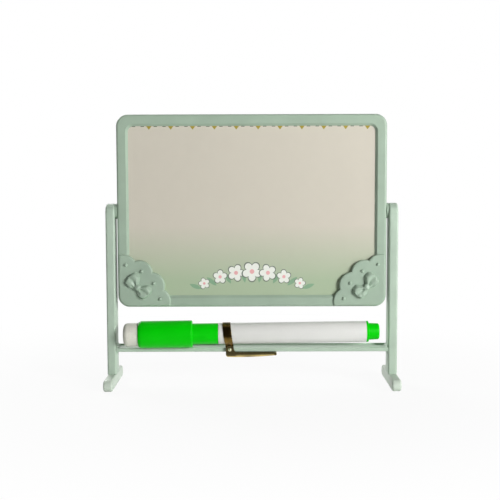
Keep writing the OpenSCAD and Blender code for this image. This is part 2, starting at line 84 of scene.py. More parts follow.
MM = 0.001
JOINTS = {joint["name"]: joint for joint in frame["joints"]}


def span(node, axis):
    """Lowest and highest place of a CAD node along an axis."""
    low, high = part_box(node)
    return low[axis], high[axis]


def node_radius(node):
    """Radius of a CAD node that is round about the marker's axis, from its depth along Y."""
    low, high = span(node, 1)
    return (high - low) / 2


BOARD_LEFT, BOARD_RIGHT = span("front_frame", 0)
BOARD_BOTTOM, BOARD_TOP = span("front_frame", 2)
RAIL_FACE = span("front_frame", 1)[0]
SHEET_FACE = span("writing_sheet", 1)[0]
ORNAMENT_FACE = span("left_corner_ornament", 1)[0]

# The board's rails and round corners, and the height of the scalloped plates on the rails.
RAIL_WIDTH = 6 * MM
CORNER_RADIUS = 6 * MM
PLATE_HEIGHT = 1 * MM


# ---- sizes and colours that a user would change ----


def linear(red, green, blue):
    """Scene-linear colour of an 8-bit sRGB colour."""
    share = np.array([red, green, blue]) / 255
    low = share / 12.92
    high = ((share + 0.055) / 1.055) ** 2.4
    return tuple(float(value) for value in np.where(share <= 0.04045, low, high))


def colour_setting(name, description, red, green, blue):
    return FloatVectorProperty(
        name=name, description=description, subtype="COLOR", size=3, min=0, max=1,
        default=linear(red, green, blue),
    )


def length_setting(name, description, millimetres):
    return FloatProperty(
        name=name, description=description, subtype="DISTANCE", unit="LENGTH", precision=5,
        default=millimetres * MM,
    )


def number_setting(name, description, default, unit="NONE"):
    return FloatProperty(name=name, description=description, unit=unit, default=default)


def angle_setting(name, description, degrees):
    return FloatProperty(
        name=name, description=description, subtype="ANGLE", unit="ROTATION",
        default=math.radians(degrees),
    )


class EaselColours(bpy.types.PropertyGroup):
    """Colours of the easel, its print and its marker"""

    mint: colour_setting("Mint", "Moulded plastic of the board", 161, 181, 162)
    # Painted light: the posts' and tray's mint is a lighter copy of the board's mint, standing in for the
    # brighter light on their round, right-facing edges.
    stand_mint_painted_light: colour_setting("Stand mint", "Moulded plastic of posts and tray", 178, 197, 179)
    # Painted light: the feet's mint is a lighter copy of the same plastic, standing in for highlights and
    # floor bounce on their round front ends.
    foot_mint_painted_light: colour_setting("Foot mint", "Moulded plastic of the feet", 202, 214, 200)
    cream: colour_setting("Cream", "Upper part of the printed sheet", 207, 201, 187)
    meadow: colour_setting("Meadow", "Lower part of the printed sheet", 173, 190, 160)
    pennant: colour_setting("Pennants", "Printed pennants", 164, 148, 50)
    thread: colour_setting("Thread", "Printed thread between the pennants", 92, 100, 78)
    petal: colour_setting("Petals", "Printed flowers", 238, 240, 232)
    outline: colour_setting("Outline", "Line round the printed flowers", 112, 122, 112)
    heart: colour_setting("Hearts", "Middles of the printed flowers", 232, 176, 176)
    leaf: colour_setting("Leaves", "Printed leaves", 136, 172, 140)
    white: colour_setting("White", "Barrel of the marker and back of the board", 228, 228, 224)
    green: colour_setting("Green", "Cap and plug of the marker", 2, 206, 5)
    felt: colour_setting("Felt", "Eraser, and the reservoir inside the marker", 226, 225, 212)
    gold: colour_setting("Gold", "Blade of the clip", 216, 196, 134)
    # Painted shade: the band's gold is a darker copy of the blade's gold, standing in for the dark
    # reflections on the band.
    band: colour_setting("Band", "Darker gold of the clip's band", 120, 97, 46)
    rivet: colour_setting("Rivet", "Bright rivet of the clip", 226, 223, 190)
    steel: colour_setting("Steel", "Screws, pins and magnet", 186, 188, 192)
    fibre: colour_setting("Fibre board", "Core between the sheets", 176, 146, 104)


class EaselOrnament(bpy.types.PropertyGroup):
    """Scalloped corners with their bows and beads"""

    reach: length_setting("Reach", "From the board's corner to the scallops' centres", 20.8)
    scallop: length_setting("Scallop radius", "Radius of each scallop", 7)
    step: angle_setting("Scallop step", "Angle from one scallop to the next", 24.5)
    inset: length_setting("Inset", "Rail left free outside the plate", 0.6)
    edge: length_setting("Edge", "Radius that rounds the plate's edge", 0.8)
    knot_at: length_setting("Knot place", "From both edges of the board to the knot", 10.4)
    bow_reach: length_setting("Bow reach", "From the knot to the end of a loop", 7.1)
    knot_half: length_setting("Knot length", "Half length of the knot along the bow", 1.9)
    knot_wide: length_setting("Knot width", "Half width of the knot across the bow", 1.75)
    bow_flare: length_setting("Bow flare", "Half width of a loop near its end", 3.9)
    bow_shift: length_setting("Bow shift", "How far the loops lean off the bow's line", 1.0)
    upper_loop: number_setting("Upper loop", "Size of the upper loop to the lower one", 1.06)
    bead: length_setting("Bead radius", "Radius of a bead", 0.95)
    bead_reach: length_setting("Bead reach", "From the board's corner to the beads", 22.6)
    bead_step: angle_setting("Bead step", "Angle from one bead to the next", 22.6)


class EaselPrint(bpy.types.PropertyGroup):
    """Printed pennants, fade and flowers of the writing sheet"""

    pitch: length_setting("Pennant pitch", "Distance from one pennant to the next", 11.3)
    middle: length_setting("Pennant middle", "Place of the middle pennant", 3.4)
    drop: length_setting("Pennant drop", "How far a pennant's tip hangs below the rail", 1.9)
    half_width: length_setting("Pennant width", "Half width of a pennant at the rail", 1.4)
    dash: length_setting("Dash", "Half length of a dash of thread between pennants", 0.9)
    thread: length_setting("Thread", "Thickness of the thread", 0.35)
    fade_top: length_setting("Fade top", "Height over the desk where the fade starts", 84)
    fade_bottom: length_setting("Fade bottom", "Height over the desk where it ends", 55)
    garland: length_setting("Garland", "Half length of the row of flowers", 25)
    flower: length_setting("Flower radius", "Radius of the middle flower", 5)
    leaf: length_setting("Leaf length", "Half length of a leaf", 3.4)


class EaselMarker(bpy.types.PropertyGroup):
    """Marker, cap and clip"""

    wall: length_setting("Barrel wall", "Wall of the barrel", 0.9)
    cap_radius: length_setting("Cap radius", "Radius of the cap's narrow part", 5.45)
    cap_narrow: length_setting("Narrow length", "Length of the cap's narrow part", 13.6)
    cap_chamfer: length_setting("Cap chamfer", "Length of the taper at the cap's end", 1.3)
    cap_bore: length_setting("Cap bore", "Radius of the cap's bore", 4.4)
    socket_wall: length_setting("Socket wall", "Wall round the eraser", 0.95)
    socket_rim: length_setting("Socket rim", "Wall at the rim of the socket", 0.4)
    socket_depth: length_setting("Socket depth", "Depth of eraser and magnet in the cap", 8)
    plug_inside: length_setting("Plug depth", "Depth of the plug in the barrel", 6)
    plug_rim: length_setting("Plug rim", "Thickness of the plug's flange", 1.2)
    plug_radius: length_setting("Plug radius", "Radius of the plug outside the barrel", 4.35)
    band_at: length_setting("Band place", "From the cap to the middle of the band", 4.9)
    band_width: length_setting("Band width", "Width of the band", 4.2)
    band_sheet: length_setting("Band sheet", "Thickness of the band", 0.35)
    band_slant: angle_setting("Band slant", "Slant of the band on the barrel", 6.3)
    blade_sheet: length_setting("Blade sheet", "Thickness of the blade", 0.45)
    blade_top: length_setting("Blade top", "From the rivet down to the blade's edges", 1.53)
    belly: length_setting("Belly height", "Height of the blade at its belly", 2.6)
    belly_at: length_setting("Belly place", "From the rivet to the blade's belly", 5.8)
    tip: length_setting("Tip height", "Height of the blade's rolled tip", 1.6)
    heel: length_setting("Heel radius", "Radius of the blade's lower corner under the rivet", 1.2)
    crown: length_setting("Crown", "How far the blade's front bulges between its edges", 0.3)


class EaselStage(bpy.types.PropertyGroup):
    """Camera, lamps and floor"""

    camera_distance: length_setting("Camera distance", "From the board's plane to the camera", 520)
    camera_height: length_setting("Camera height", "Height of the camera over the desk", 114)
    camera_pitch: angle_setting("Camera pitch", "How far the camera looks down", 4.73)
    camera_yaw: angle_setting("Camera yaw", "How far the camera looks to the left", 0.11)
    camera_roll: angle_setting("Camera roll", "How far the camera leans to the right", 0.17)
    camera_lens: number_setting("Lens", "Focal length on a 36 mm sensor", 71.64, "CAMERA")
    sky: number_setting("Sky", "Strength of the light from all round", 0.05)
    front: number_setting("Front", "Strength of the room mirrored from the front", 0.06)
    key_power: number_setting("Key lamp", "Power of the key lamp", 7.6, "POWER")
    fill_power: number_setting("Fill lamp", "Power of the fill lamp", 0.2, "POWER")
    back_power: number_setting("Back lamp", "Power of the back lamp", 4.5, "POWER")


# ---- meshes from grids ----


def grid_faces(rows, columns, first, wrap):
    """Quads between neighbours in a grid that is numbered row by row, whose rows may run round."""
    index = first + np.arange(rows * columns).reshape(rows, columns)
    if wrap:
        index = np.hstack([index, index[:, :1]])
    corners = [index[:-1, :-1], index[:-1, 1:], index[1:, 1:], index[1:, :-1]]
    return np.stack(corners, -1).reshape(-1, 4).tolist()


def grid_piece(name, grids, crease=40, capped=0, wrap=True):
    """One piece from grids of points, each rows by columns by 3, facing outwards.

    Flat faces close the first and last rows of the first `capped` grids. Doubles are merged,
    and edges are sharp only past the crease angle.
    """
    faces, count = [], 0
    for i, points in enumerate(grids):
        rows, columns = points.shape[:2]
        faces += grid_faces(rows, columns, count, wrap)
        if i < capped:
            row = np.arange(count, count + columns)
            faces += [row.tolist(), (row + (rows - 1) * columns).tolist()]
        count += rows * columns
    mesh = bpy.data.meshes.new(name)
    mesh.from_pydata(np.vstack([points.reshape(-1, 3) for points in grids]).tolist(), [], faces)
    work = bmesh.new()
    work.from_mesh(mesh)
    bmesh.ops.remove_doubles(work, verts=work.verts, dist=0.2e-6)
    bmesh.ops.dissolve_degenerate(work, edges=work.edges, dist=0.1e-6)
    bmesh.ops.recalc_face_normals(work, faces=work.faces)
    work.to_mesh(mesh)
    work.free()
    mesh.shade_smooth()
    mesh.set_sharp_from_angle(angle=math.radians(crease))
    thing = bpy.data.objects.new(name, mesh)
    bpy.context.scene.collection.objects.link(thing)
    return thing


def points_of(*coordinates):
    """Points from their coordinates, whose shapes are spread over each other."""
    return np.stack(np.broadcast_arrays(*coordinates), -1)


def arc(centre, radius, start, end, steps):
    """Points of a circle's stretch from one angle to another, in degrees, ends included."""
    turn = np.radians(np.linspace(start, end, steps))
    return points_of(centre[0] + radius * np.cos(turn), centre[1] + radius * np.sin(turn))


def full_turn(steps):
    """Angles of a full turn, its end left out."""
    return np.linspace(0, 2 * np.pi, steps, endpoint=False)


def smooth_step(value):
    """0 below 0, 1 above 1, and 3v^2 - 2v^3 between."""
    value = np.clip(value, 0, 1)
    return value * value * (3 - 2 * value)


def finish_piece(thing, material, body, node):
    """Gives a piece its material and its body, and hides the CAD node it stands for."""
    thing.data.materials.append(material)
    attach(thing, body)
    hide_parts(node)


def paint_nodes(material, *nodes):
    """Gives CAD nodes whose shape is right their finished material."""
    for name in nodes:
        frame["nodes"][name].material_slots[0].material = material


# ---- finishes ----


class Signal:
    """An output of a shader node that formulas are written with. Each step makes a Math node."""

    def __init__(self, socket):
        self.socket = socket
        self.tree = socket.id_data

    def math(self, operation, *others):
        """Result of a Math node for this value and up to two others."""
        inputs = dict(enumerate([self, *others]))
        return signal(self.tree, "Math", "Value", inputs, operation=operation)

    def __add__(self, other):
        return self.math("ADD", other)

    def __sub__(self, other):
        return self.math("SUBTRACT", other)

    def __rsub__(self, other):
        return self.math("MULTIPLY_ADD", -1.0, other)

    def __mul__(self, other):
        return self.math("MULTIPLY", other)

    def __truediv__(self, other):
        return self.math("DIVIDE", other)

    def __lt__(self, other):
        return self.math("LESS_THAN", other)

    def __abs__(self):
        return self.math("ABSOLUTE")


def feed(socket, value):
    """Links a socket to a signal, or sets it to a number, vector or colour."""
    if isinstance(value, Signal):
        value.tree.links.new(value.socket, socket)
    else:
        socket.default_value = value


def feed_all(inputs, values):
    """Feeds sockets by their names or numbers."""
    for key, value in values.items():
        feed(inputs[key], value)


def add_node(tree, kind, inputs=None, **settings):
    """A new shader node with its settings, and its inputs linked or set."""
    made = tree.nodes.new("ShaderNode" + kind)
    for key, value in settings.items():
        setattr(made, key, value)
    feed_all(made.inputs, inputs or {})
    return made


def signal(tree, kind, output, inputs=None, **settings):
    """One output of a new shader node."""
    return Signal(add_node(tree, kind, inputs, **settings).outputs[output])


def object_place(tree):
    """Object coordinates, in metres."""
    return signal(tree, "TexCoord", "Object")


def split_axes(place):
    """X, Y and Z of a place or a direction."""
    outputs = add_node(place.tree, "SeparateXYZ", {"Vector": place}).outputs
    return [Signal(output) for output in outputs]


def stretched(place, scale):
    """Coordinates scaled along their axes, which stretches the patterns that read them."""
    return signal(place.tree, "Mapping", "Vector", {"Vector": place, "Scale": scale})


def noise(place, scale, detail=2.0, roughness=0.5):
    """Noise from 0 to 1 with about `scale` lumps to a metre."""
    values = {"Vector": place, "Scale": scale, "Detail": detail, "Roughness": roughness}
    return signal(place.tree, "TexNoise", "Fac", values)


def remap(value, low, high, new_low, new_high, smooth=False):
    """Value carried from one range to another and held at its ends."""
    kind = "SMOOTHSTEP" if smooth else "LINEAR"
    values = {"Value": value, "From Min": low, "From Max": high, "To Min": new_low, "To Max": new_high}
    return signal(value.tree, "MapRange", "Result", values, interpolation_type=kind)


def mix_colours(share, first, second):
    """Colour between two colours, by share. The Mix node's colour sockets are numbers 6, 7 and 2."""
    return signal(share.tree, "Mix", 2, {0: share, 6: first, 7: second}, data_type="RGBA")


def shade_of(colour, factor=1.0):
    """A colour made darker or lighter, with alpha."""
    return (*(min(1.0, channel * factor) for channel in colour), 1.0)


def two_shades(pattern, limits, colour, first, second):
    """Colour that goes from one shade to another as a pattern passes between its limits."""
    share = remap(pattern, *limits, 0.0, 1.0)
    return mix_colours(share, shade_of(colour, first), shade_of(colour, second))


def bumps(height, depth, under=None):
    """Normal of a relief that is `depth` metres deep, on top of another one."""
    values = {"Height": height, "Distance": depth, "Strength": 1.0}
    if under is not None:
        values["Normal"] = under
    return signal(height.tree, "Bump", "Normal", values)


def empty_tree(owner):
    """The cleared node tree of a material or world."""
    owner.use_nodes = True
    owner.node_tree.nodes.clear()
    return owner.node_tree


def start_material(name):
    """A material, the sockets of its one Principled shader, and Object coordinates."""
    material = bpy.data.materials.new(name)
    tree = empty_tree(material)
    shader = add_node(tree, "BsdfPrincipled")
    add_node(tree, "OutputMaterial", {"Surface": Signal(shader.outputs["BSDF"])})
    return material, shader.inputs, object_place(tree)


def moulded_plastic(name, colour, roughness, drift=0.05, shine=0.5):
    """Injection-moulded plastic: slow drift of shade, fine grain, sink ripples and uneven gloss."""
    material, shader, place = start_material(name)
    slow, ripples, grain = noise(place, 90, 3), noise(place, 240, 1), noise(place, 2600, 3, 0.6)
    feed_all(shader, {
        "Base Color": two_shades(slow, (0.3, 0.7), colour, 1 - drift, 1 + drift),
        "Roughness": remap(grain, 0.3, 0.7, roughness - 0.05, roughness + 0.06),
        "Normal": bumps(grain, 0.006 * MM, bumps(ripples, 0.025 * MM)),
        "IOR": 1.47,
        "Specular IOR Level": shine,
    })
    return material


def pressed_felt(name, colour):
    """Felt: matted fibres as stretched noise over soft clumps, with a soft sheen."""
    material, shader, place = start_material(name)
    fibres, clumps = noise(stretched(place, (1, 4, 1)), 1500, 5, 0.7), noise(place, 420, 3)
    feed_all(shader, {
        "Base Color": two_shades(fibres, (0.35, 0.65), colour, 0.9, 1.05),
        "Normal": bumps(fibres, 0.04 * MM, bumps(clumps, 0.06 * MM)),
        "Roughness": 0.92,
        "Sheen Weight": 0.25,
    })
    return material


def plated_metal(name, colour, roughness, streaks=(1, 1, 1), tarnish_and_painted_streaks=0.72, patches=500):
    """Plated or brushed metal: streaked gloss, darker patches and tiny dents. The patches are tarnish, and
    on the clip's blade they are also painted reflection streaks.
    """
    material, shader, place = start_material(name)
    along = stretched(place, streaks)
    brushed, stain_and_streaks = noise(along, 2400, 4, 0.6), noise(along, patches, 3)
    feed_all(shader, {
        "Base Color": two_shades(stain_and_streaks, (0.4, 0.7), colour, 1.0, tarnish_and_painted_streaks),
        "Roughness": remap(brushed, 0.3, 0.7, roughness - 0.03, roughness + 0.05),
        "Normal": bumps(brushed, 0.003 * MM),
        "Metallic": 1.0,
    })
    return material


def fibre_board(name, colour):
    """Pressed fibre board: coarse flecks and a dull, rough face."""
    material, shader, place = start_material(name)
    flecks = noise(place, 900, 5, 0.7)
    feed_all(shader, {
        "Base Color": two_shades(flecks, (0.35, 0.65), colour, 0.8, 1.1),
        "Normal": bumps(flecks, 0.05 * MM),
        "Roughness": 0.85,
    })
    return material


def pennants_over(under, x, z, settings, colours):
    """Printed pennants under the top rail, and the thread between them, over the colour so far.

    A pennant is where u < half_width * (1 - v / drop), with u the distance from its middle and
    v the depth below the rail. A dash of thread is where v and the distance to its middle, at
    0.3 of the pitch, are small.
    """
    pitch = settings.pitch
    depth = (BOARD_TOP - RAIL_WIDTH) - z
    from_middle = abs((x - (settings.middle - 0.5 * pitch)).math("WRAP", pitch, 0.0) - 0.5 * pitch)
    pennant = from_middle < (1.0 - depth / settings.drop) * settings.half_width
    thread = (abs(from_middle - 0.3 * pitch) < settings.dash) * (depth < settings.thread)
    threaded = mix_colours(thread, under, shade_of(colours.thread))
    return mix_colours(pennant, threaded, shade_of(colours.pennant))


def flower_over(under, right, up, turn, colours):
    """One printed flower over a colour, at a place in shares of its radius.

    In polar coordinates about its middle, petals reach r = 0.56 + 0.44 * |cos(2.5 a)|^0.7.
    """
    reach = (right * right + up * up).math("SQRT")
    angle = up.math("ARCTAN2", right) + turn
    wave = abs((angle * 2.5).math("COSINE"))
    edge = wave.math("POWER", 0.7) * 0.44 + 0.56
    colour = mix_colours(reach < edge + 0.13, under, shade_of(colours.outline))
    colour = mix_colours(reach < edge, colour, shade_of(colours.petal))
    return mix_colours(reach < 0.24, colour, shade_of(colours.heart))


def leaf_over(under, right, up, turn, colours):
    """One printed, pointed leaf over a colour, where |v| < 0.32 * (1 - u^2) along its own axis u."""
    cosine, sine = turn.math("COSINE"), turn.math("SINE")
    along, across = right * cosine + up * sine, up * cosine - right * sine
    inside = abs(across) < (1.0 - along * along) * 0.32
    return mix_colours(inside, under, shade_of(colours.leaf))


def motif_group(name, motif_over, colours):
    """Node group that prints one motif over a colour, from its middle, radius and turn."""
    group = bpy.data.node_groups.new(name, "ShaderNodeTree")
    group.interface.new_socket("Under", in_out="INPUT", socket_type="NodeSocketColor")
    for label in ("X", "Z", "Middle X", "Middle Z", "Radius", "Turn"):
        group.interface.new_socket(label, in_out="INPUT", socket_type="NodeSocketFloat")
    group.interface.new_socket("Over", in_out="OUTPUT", socket_type="NodeSocketColor")
    sockets = group.nodes.new("NodeGroupInput").outputs
    under, x, z, middle_x, middle_z, radius, turn = [Signal(socket) for socket in sockets[:7]]
    right, up = (x - middle_x) / radius, (z - middle_z) / radius
    output = group.nodes.new("NodeGroupOutput")
    feed(output.inputs["Over"], motif_over(under, right, up, turn, colours))
    return group


def garland(count, half_length, foot, rise, radius, narrowing, lean):
    """Motifs along a low arch, as (middle x, height over the rail, radius, turn).

    At p from -1 to 1 along it, the height is foot + rise * (1 - p^2), the radius shrinks by
    narrowing * |p|, and the motif leans by p.
    """
    return [
        (
            half_length * p, foot + rise * (1 - p * p),
            radius * (1 - narrowing * abs(p)), math.pi / 2 + lean * p,
        )
        for p in np.linspace(-1, 1, count)
    ]


def printed_face(name, settings, colours):
    """Printed and laminated steel sheet: cream fading to green, pennants, a garland, a gloss film."""
    material, shader, place = start_material(name)
    x, _, z = split_axes(place)
    paper, waves, film = noise(place, 160, 4), noise(place, 45, 1), noise(place, 700, 3)
    fade = remap(z, settings.fade_bottom, settings.fade_top, 1.0, 0.0)
    cream = mix_colours(paper, shade_of(colours.cream, 0.98), shade_of(colours.cream, 1.02))
    colour = mix_colours(fade, cream, shade_of(colours.meadow))
    colour = pennants_over(colour, x, z, settings, colours)
    leaves = garland(
        8, 1.18 * settings.garland, foot=4.6 * MM, rise=5.4 * MM, radius=settings.leaf,
        narrowing=0, lean=-1.2,
    )
    flowers = garland(
        7, settings.garland, foot=6.2 * MM, rise=6.2 * MM, radius=settings.flower,
        narrowing=0.44, lean=0.9,
    )
    leaf = motif_group("printed leaf", leaf_over, colours)
    flower = motif_group("printed flower", flower_over, colours)
    rail = BOARD_BOTTOM + RAIL_WIDTH
    for group, motifs in ((leaf, leaves), (flower, flowers)):
        for right, up, radius, turn in motifs:
            values = dict(enumerate((colour, x, z, right, rail + up, radius, turn)))
            colour = signal(place.tree, "Group", "Over", values, node_tree=group)
    feed_all(shader, {
        "Base Color": colour,
        "Normal": bumps(waves, 0.04 * MM),
        "Roughness": remap(film, 0.3, 0.7, 0.3, 0.38),
    })
    return material


# ---- corner ornaments ----


def ray_circle(start, direction, centre, radius):
    """Distance along each ray to where it leaves a circle, or 0 where it misses."""
    offset = start - centre
    b = direction @ offset
    inside = b * b - (offset @ offset - radius * radius)
    return np.where(inside > 0, np.sqrt(np.maximum(inside, 0)) - b, 0)


def ray_corner(start, direction, inset, radius):
    """Distance along each ray to the board's inset outline with its round corner."""
    with np.errstate(divide="ignore"):
        to_left = np.where(direction[:, 0] < 0, (inset - start[0]) / direction[:, 0], np.inf)
        to_bottom = np.where(direction[:, 1] < 0, (inset - start[1]) / direction[:, 1], np.inf)
    straight = np.minimum(to_left, to_bottom)
    centre = np.array([inset + radius, inset + radius])
    hit = start + np.where(np.isfinite(straight), straight, 0)[:, None] * direction
    in_corner = np.isfinite(straight) & (hit < centre).all(1)
    return np.where(in_corner, ray_circle(start, direction, centre, radius), straight)


def round_corner(reach, step):
    """Four places round the board's corner, at one distance from it and an even angle apart."""
    angle = np.pi / 4 + step * np.array([-1.5, -0.5, 0.5, 1.5])
    return reach * points_of(np.cos(angle), np.sin(angle))


def scalloped_outline(settings, shrink):
    """Outline of the scalloped plate, drawn in by `shrink`.

    Seen from a middle point, each ray ends where it leaves the last of the scallops' circles
    and the wedge's circle, or at the board's own outline if that comes first.
    """
    start = np.array([settings.knot_at, settings.knot_at])
    turn = full_turn(720)
    direction = points_of(np.cos(turn), np.sin(turn))
    reach = ray_circle(start, direction, np.zeros(2), settings.reach - shrink)
    for centre in round_corner(settings.reach, settings.step):
        reach = np.maximum(reach, ray_circle(start, direction, centre, settings.scallop - shrink))
    inset = settings.inset + shrink
    edge = ray_corner(start, direction, inset, CORNER_RADIUS - inset)
    return start + np.minimum(reach, edge)[:, None] * direction


def plate_grid(settings):
    """Scalloped plate with a rounded edge, from its back, sunk in the rails, to its face's middle."""
    edge, depth = settings.edge, SHEET_FACE - RAIL_FACE - 0.02 * MM
    section = np.vstack([
        [[0, -depth]],
        arc((edge, PLATE_HEIGHT - edge), edge, 180, 90, 9),
        [[edge + 0.5 * MM, PLATE_HEIGHT]],
    ])
    rings = [(scalloped_outline(settings, shrink), level) for shrink, level in section]
    first, last = rings[0][0], rings[-1][0]
    middle = np.array([settings.knot_at, settings.knot_at])
    back = [(middle + share * (first - middle), -depth) for share in (0.0, 0.5)]
    face = [(middle + share * (last - middle), PLATE_HEIGHT) for share in (0.7, 0.4, 0.15, 0.0)]
    return np.stack([
        np.column_stack([ring, np.full(len(ring), level)]) for ring, level in back + rings + face
    ])


def loop_shape(settings, share):
    """Half width of a loop and its lean off the bow's line, at a share of its length from the knot.

    The half width is flare * sqrt(1 - |2s - 1|^5) * (0.48 + 0.52 * smooth step of 2s).
    """
    spread = smooth_step(share / 0.5)
    ends = np.sqrt(np.clip(1 - np.abs(2 * share - 1) ** 5, 0, 1))
    return settings.bow_flare * ends * (0.48 + 0.52 * spread), settings.bow_shift * spread


def loop_outline(settings, turn):
    """Outline of a bow's loop: narrow at the knot, flaring outwards, blunt at its end."""
    share = 0.5 * (1 - np.cos(turn))
    half, lean = loop_shape(settings, share)
    return points_of(share * settings.bow_reach, lean + np.sign(np.sin(turn)) * half)


def gathers(share, across):
    """Relief of a loop's cloth, in shares of its height, at (share of the length, share of the half width).

    A broad round fold runs along the side that faces the board's middle. The rest lies lower, with
    gathers that fan out from the knot and fade, and two soft lumps near the loop's mouth.
    """
    fold = 0.24 * smooth_step((across + 0.25) / 0.75)
    near = np.exp(-((share - 0.27) / 0.24) ** 2) * smooth_step((0.35 - across) / 0.3)
    valleys = 0.3 * near * 0.5 * (1 - np.cos(2 * np.pi * (across + 0.42) / 0.66))
    crease = 0.08 * smooth_step((share - 0.2) / 0.2) * np.exp(-((across - 0.02) / 0.16) ** 2)
    mouth_lump = 0.13 * np.exp(-((share - 0.8) / 0.13) ** 2 - ((across + 0.42) / 0.3) ** 2)
    side_lump = 0.11 * np.exp(-((share - 0.52) / 0.13) ** 2 - ((across + 0.66) / 0.24) ** 2)
    return 0.74 + fold - valleys - crease + mouth_lump + side_lump


def loop_grid(settings, height, rows=44, columns=144):
    """One puffed loop of the bow in its own frame (along the bow, across it, height).

    A point is middle + s * (outline - middle). Its height rises from the outline as a power of a
    quarter sine, steeply at the loop's end and corner side and softly on the side that faces the
    board's middle. The rest of the loop carries the cloth's gathers.
    """
    turn = full_turn(columns)
    outline = loop_outline(settings, turn)
    middle = np.array([0.56 * settings.bow_reach, 0.9 * settings.bow_shift])
    shrink = np.concatenate([[1.0, 1.0], np.cos(np.linspace(0.12, np.pi / 2, rows - 2))])
    flat = middle + shrink[:, None, None] * (outline - middle)
    soft = smooth_step(np.sin(turn) / 0.8)
    slope = np.clip((1 - shrink[:, None]) / (0.24 + 0.26 * soft), 0, 1)
    rim = np.sin(slope * np.pi / 2) ** (0.6 + 0.35 * soft)
    share = flat[..., 0] / settings.bow_reach
    half, lean = loop_shape(settings, np.clip(share, 0.02, 0.98))
    relief = gathers(share, (flat[..., 1] - lean) / half)
    rise = 0.8 + 0.2 * smooth_step(share / 0.4)
    level = height * rim * np.minimum(relief * rise, 0.995)
    level[0] = -0.3 * height
    level[1] = 0
    return np.dstack([flat, level])


def puffed_grid(size, exponents, rows, columns):
    """Superellipsoid of a half length, half width and height, whose own exponents make it boxy.

    With C, S and c, s the cosine and sine of rise and turn, a point is size * (C^a c^b, C^a s^b,
    S^b), where a power keeps its base's sign.
    """
    def power(value, exponent):
        return np.sign(value) * np.abs(value) ** exponent

    rise, turn = np.linspace(-np.pi / 2, np.pi / 2, rows)[:, None], full_turn(columns)
    a, b = exponents
    flat = power(np.cos(rise), a)
    return points_of(
        size[0] * flat * power(np.cos(turn), b), size[1] * flat * power(np.sin(turn), b),
        size[2] * power(np.sin(rise), b),
    )


def knot_grid(half_length, half_width, height):
    """The knot: a boxy puff with two grooves that run across the bow."""
    knot = puffed_grid((half_length, half_width, height), (0.7, 0.8), 18, 48)
    from_groove = (np.abs(knot[..., 0]) - 0.45 * half_length) / (0.14 * half_length)
    knot[..., 2] *= 1 - 0.12 * np.exp(-from_groove ** 2)
    return knot


def on_corner(points, side):
    """From (inwards, up, out of the board) at the corner to the row frame. side is -1 for the left."""
    inwards, up, out = np.moveaxis(points, -1, 0)
    x = BOARD_LEFT + inwards if side < 0 else BOARD_RIGHT - inwards
    return points_of(x, RAIL_FACE - out, BOARD_BOTTOM + up)


def ornament_piece(name, settings, side):
    """Scalloped plate, bow and beads of one lower corner, as one piece."""
    puff, bead = RAIL_FACE - ORNAMENT_FACE - PLATE_HEIGHT, settings.bead
    along, across = np.array([-1, 1]) / math.sqrt(2), np.array([1, 1]) / math.sqrt(2)
    loop, larger = loop_grid(settings, puff), settings.upper_loop
    knot = knot_grid(settings.knot_half, settings.knot_wide, puff) + [0, 0.1 * MM, 0]
    grids = [plate_grid(settings)]
    for part in (loop * [larger, larger, 1], loop * [-1, 1, 1], knot):
        flat = settings.knot_at + part[..., :1] * along + part[..., 1:2] * across
        grids.append(np.concatenate([flat, part[..., 2:] + PLATE_HEIGHT], -1))
    for centre in round_corner(settings.bead_reach, settings.bead_step):
        grids.append(puffed_grid((bead, bead, bead), (1, 1), 10, 28) + [*centre, PLATE_HEIGHT])
    return grid_piece(name, [on_corner(grid, side) for grid in grids], crease=50)


# ---- marker, cap and clip ----


class Axis:
    """The marker's axis: from the place where cap and barrel meet, towards the marker's plug."""

    def __init__(self):
        self.along = -np.array(JOINTS["cap_pull"]["axis"], float)
        self.along /= np.linalg.norm(self.along)
        self.side = np.array([0.0, 1.0, 0.0])
        self.up = np.cross(self.along, self.side)
        self.radius = node_radius("marker_barrel")
        low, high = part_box("marker_barrel")
        self.start = np.array([
            low[0] + self.radius * self.along[2], (low[1] + high[1]) / 2,
            low[2] + self.radius * self.along[0],
        ])
        self.length = self.reach("marker_barrel", far=True)

    def place(self, distance, side, up):
        """Row-frame points from distances along, beside and above the axis."""
        return self.start + points_of(distance, side, up) @ [self.along, self.side, self.up]

    def reach(self, node, far):
        """How far along the axis a round node reaches at its near or far end."""
        low, high = span(node, 0)
        lean = node_radius(node) * self.along[2]
        end = high - lean if far else low + lean
        return (end - self.start[0]) / self.along[0]

    def spun(self, profile, steps=128):
        """Surface of revolution: (distance, radius) turned about the axis by radius * (cos, sin)."""
        turn = full_turn(steps)
        distance, radius = np.asarray(profile).T[:, :, None]
        return self.place(distance, radius * np.cos(turn), radius * np.sin(turn))


def rounded_profile(corners, steps=6):
    """Profile through corners (distance, radius, rounding), with each corner turned on its own radius."""
    points = []
    for i, (x, y, rounding) in enumerate(corners):
        corner = np.array([x, y])
        if rounding <= 0 or i in (0, len(corners) - 1):
            points.append(corner)
            continue
        before = np.array(corners[i - 1][:2]) - corner
        after = np.array(corners[i + 1][:2]) - corner
        before /= np.linalg.norm(before)
        after /= np.linalg.norm(after)
        half = math.acos(np.clip(before @ after, -1, 1)) / 2
        cut = rounding / math.tan(half)
        middle = corner + (before + after) / np.linalg.norm(before + after) * rounding / math.sin(half)
        first, last = corner + before * cut - middle, corner + after * cut - middle
        for share in np.linspace(0, 1, steps):
            turn = (1 - share) * first + share * last
            points.append(middle + turn / np.linalg.norm(turn) * rounding)
    return np.array(points)


def turned_piece(name, axis, corners):
    """A closed piece turned about the marker's axis from the corners of its profile."""
    return grid_piece(name, [axis.spun(rounded_profile(corners))])


